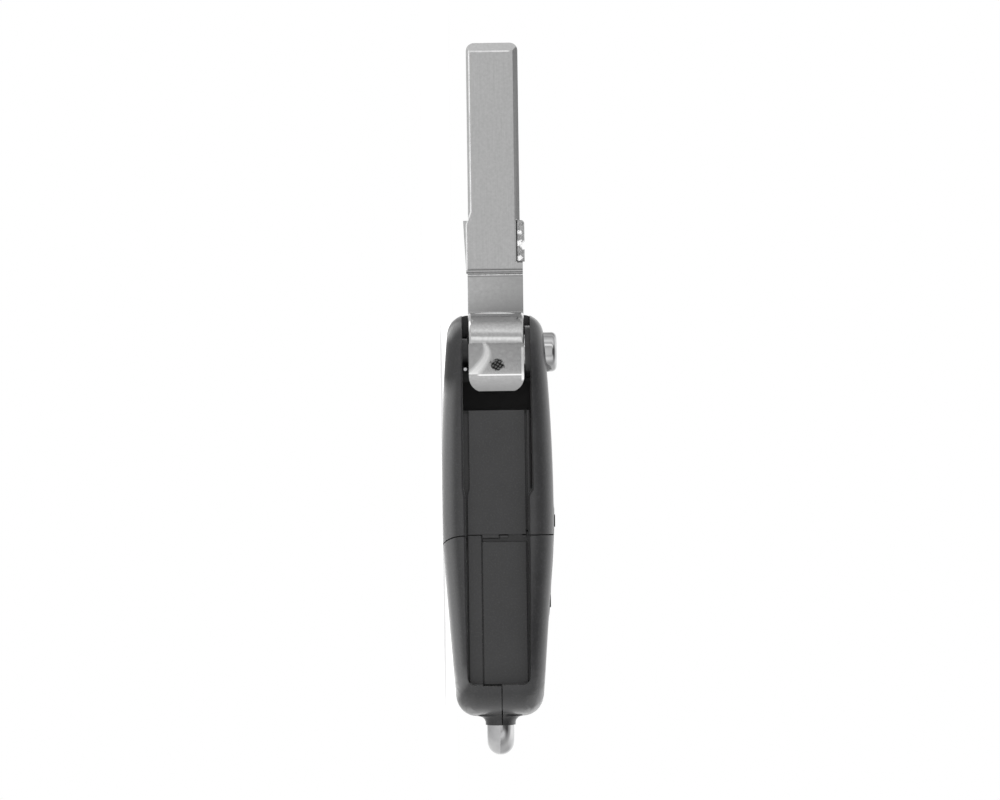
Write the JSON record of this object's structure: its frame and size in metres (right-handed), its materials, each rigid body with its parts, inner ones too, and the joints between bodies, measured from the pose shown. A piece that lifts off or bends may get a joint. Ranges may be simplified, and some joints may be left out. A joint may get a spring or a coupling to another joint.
{
  "type": "flip key remote",
  "caption": "Folding car key remote: a blank blade on a polished hub flips out of a slotted black case with a release button, remote buttons and a key-ring loop.",
  "frame": {"origin": "centre of the object's box on the surface it rests on, lying on its back with the blade open", "axes": "+X from the blade's tip towards the key-ring loop, -Y to the side with the blade slot, +Z out of the button face"},
  "size_m": [0.1226, 0.036, 0.0199],
  "materials": {
    "case_plastic": "fine moulded satin",
    "zinc_screw": "zinc plated",
    "chip_carbon": "moulded",
    "blade_steel": "satin nickel plated",
    "hub_nickel": "polished drum, satin holder",
    "spring_steel": "drawn wire",
    "button_chrome": "polished",
    "button_rubber": "soft matt",
    "membrane_rubber": "moulded silicone",
    "board_laminate": "solder mask",
    "switch_steel": "stamped",
    "cell_steel": "stamped can",
    "contact_nickel": "nickel plated strip",
    "chip_epoxy": "moulded epoxy",
    "crystal_can": "plated lid",
    "coil_copper": "enamelled wire",
    "capacitor_ceramic": "fired",
    "lamp_resin": "cast resin",
    "pipe_clear": "clear red",
    "loop_chrome": "polished"
  },
  "bodies": {
    "case": {"head_front_shell": "case_plastic", "head_back_shell": "case_plastic", "head_screw": "zinc_screw", "transponder_chip": "chip_carbon", "flip_spring": "spring_steel", "release_spring": "spring_steel", "remote_front_shell": "case_plastic", "remote_back_cover": "case_plastic", "keypad_membrane": "membrane_rubber", "circuit_board": "board_laminate", "unlock_switch": "switch_steel", "boot_switch": "switch_steel", "lock_switch": "switch_steel", "coin_cell": "cell_steel", "positive_contact": "contact_nickel", "negative_contact": "contact_nickel", "microcontroller": "chip_epoxy", "crystal": "crystal_can", "antenna_coil": "coil_copper", "tuning_capacitor": "capacitor_ceramic", "indicator_lamp": "lamp_resin", "light_pipe": "pipe_clear", "key_ring_loop": "loop_chrome"},
    "blade": {"key_blade": "blade_steel", "blade_hub": "hub_nickel", "blade_roll_pin": "spring_steel"},
    "release": {"release_button": "button_chrome"},
    "unlock": {"unlock_button": "button_rubber"},
    "boot": {"boot_button": "button_rubber"},
    "lock": {"lock_button": "button_rubber"}
  },
  "joints": [
    {"name": "blade_flip", "type": "hinge", "parent": "case", "child": "blade", "pos_m": [-0.00808, -0.0111, 0.00942], "axis": [0, 0, 1], "range_deg": [0, 180]},
    {"name": "release_press", "type": "slide", "parent": "case", "child": "release", "axis": [0, 0, -1], "range_m": [0, 0.0018], "stiffness_N_per_m": 900, "deforming": ["release_spring"]},
    {"name": "unlock_press", "type": "slide", "parent": "case", "child": "unlock", "axis": [0, 0, -1], "range_m": [0, 0.00045], "stiffness_N_per_m": 1500},
    {"name": "boot_press", "type": "slide", "parent": "case", "child": "boot", "axis": [0, 0, -1], "range_m": [0, 0.00045], "stiffness_N_per_m": 1500},
    {"name": "lock_press", "type": "slide", "parent": "case", "child": "lock", "axis": [0, 0, -1], "range_m": [0, 0.00045], "stiffness_N_per_m": 1500}
  ]
}
